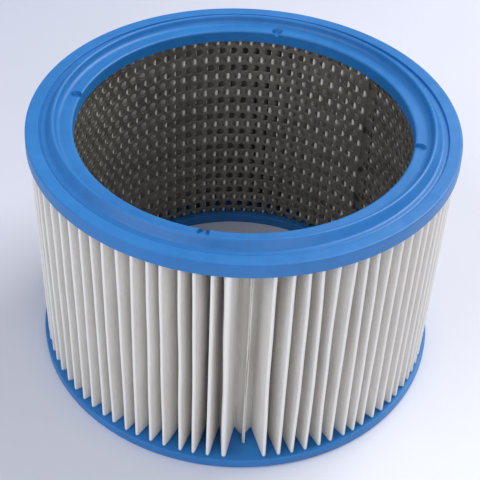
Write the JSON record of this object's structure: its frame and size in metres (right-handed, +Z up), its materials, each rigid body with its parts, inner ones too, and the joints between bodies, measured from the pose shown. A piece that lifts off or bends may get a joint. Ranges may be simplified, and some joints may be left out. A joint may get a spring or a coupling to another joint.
{
  "type": "vacuum cleaner cartridge filter",
  "caption": "Round pleated cartridge filter for a wet and dry vacuum, with cast end rings, a folded fleece ring and a perforated steel core, open at both ends.",
  "frame": {"origin": "centre of the lower ring on the floor plane, below the middle of the opening", "axes": "+Z up along the filter's axis, through both openings; the seam of the fleece faces -Y"},
  "size_m": [0.186, 0.186, 0.122],
  "materials": {
    "top_end_cap": "cast polyurethane, satin",
    "bottom_end_cap": "cast polyurethane, satin",
    "support_tube": "zinc plated sheet, dull",
    "pleat_pack": "needled polyester fleece"
  },
  "bodies": {
    "root": {"top_end_cap": "top_end_cap", "bottom_end_cap": "bottom_end_cap", "support_tube": "support_tube", "pleat_pack": "pleat_pack"}
  },
  "joints": []
}
